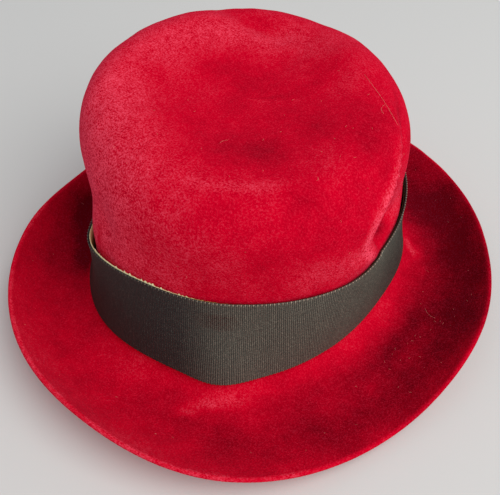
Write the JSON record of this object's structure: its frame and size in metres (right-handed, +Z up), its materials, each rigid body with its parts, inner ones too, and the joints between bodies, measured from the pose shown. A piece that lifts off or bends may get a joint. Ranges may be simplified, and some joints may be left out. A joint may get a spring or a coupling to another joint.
{
  "type": "felt hat with a rolled brim and ribbon",
  "caption": "Felt hat with a tall round crown, a softly sunken top, a brim rolled up all round and a wide ribbed ribbon with a backing tape.",
  "frame": {"origin": "on the surface that the hat rests on, under the middle of the brim's outline", "axes": "+Z up out of the crown, +Y to the back along the head's long way, -Y to the front"},
  "size_m": [0.267, 0.2958, 0.1239],
  "materials": {
    "red_felt": "velour felt with a soft raised nap",
    "black_grosgrain": "ribbed grosgrain with a faint sheen",
    "cream_tape": "matt woven tape"
  },
  "bodies": {
    "root": {"felt_body": "red_felt", "ribbon_band": "black_grosgrain", "band_backing": "cream_tape"}
  },
  "joints": []
}
